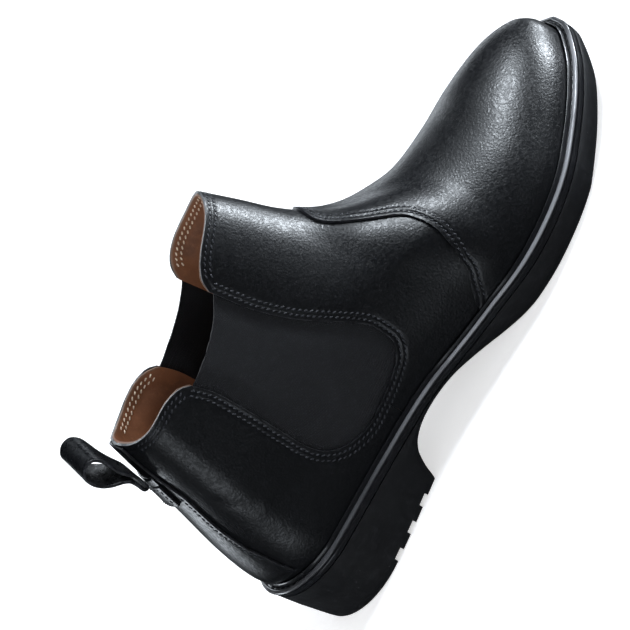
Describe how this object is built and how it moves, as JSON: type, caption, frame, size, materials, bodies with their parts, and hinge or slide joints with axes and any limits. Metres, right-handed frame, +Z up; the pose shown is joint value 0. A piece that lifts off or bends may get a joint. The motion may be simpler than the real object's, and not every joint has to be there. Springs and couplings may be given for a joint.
{
  "type": "chelsea boot",
  "caption": "Right ankle boot with elastic side gores, plain toe, leather lining, storm welt, rubber heel-and-sole unit and a sewn pull loop at the back.",
  "frame": {"origin": "middle of the footprint, on the ground plane", "axes": "+X to the toe, +Y to the inner side of the foot, +Z up; the boot stands on its sole"},
  "size_m": [0.303, 0.1176, 0.1538],
  "materials": {
    "leather": "polished",
    "lining": "matt",
    "elastic": "ribbed",
    "thread": "waxed",
    "rubber": "satin",
    "board": "pressed fibre board",
    "cork": "cork",
    "steel": "brushed",
    "brass": "satin"
  },
  "bodies": {
    "boot": {"vamp": "leather", "front_quarter": "leather", "rear_quarter_outer": "leather", "rear_quarter_inner": "leather", "back_strip": "leather", "loop_tab": "leather", "vamp_lining": "lining", "front_lining": "lining", "rear_lining": "lining", "sock_liner": "lining", "gore_outer": "elastic", "gore_inner": "elastic", "vamp_thread_1": "thread", "vamp_thread_2": "thread", "gore_thread_outer_1": "thread", "gore_thread_outer_2": "thread", "gore_thread_inner_1": "thread", "gore_thread_inner_2": "thread", "top_thread_front": "thread", "top_thread_rear_outer": "thread", "top_thread_rear_inner": "thread", "strip_thread_outer": "thread", "strip_thread_inner": "thread", "welt_thread": "thread", "outsole": "rubber", "welt": "rubber", "toe_puff": "board", "heel_counter": "board", "insole_board": "board", "heel_pad": "board", "heel_core": "board", "bottom_filler": "cork", "shank": "steel", "heel_nail_1": "brass", "heel_nail_2": "brass", "heel_nail_3": "brass", "heel_nail_4": "brass", "heel_nail_5": "brass"},
    "loop": {"pull_loop": "leather"}
  },
  "joints": [
    {"name": "pull_loop_swing", "type": "hinge", "parent": "boot", "child": "loop", "pos_m": [-0.12891, 0.00283, 0.1158], "axis": [0, -1, 0], "range_deg": [0, 100]}
  ]
}
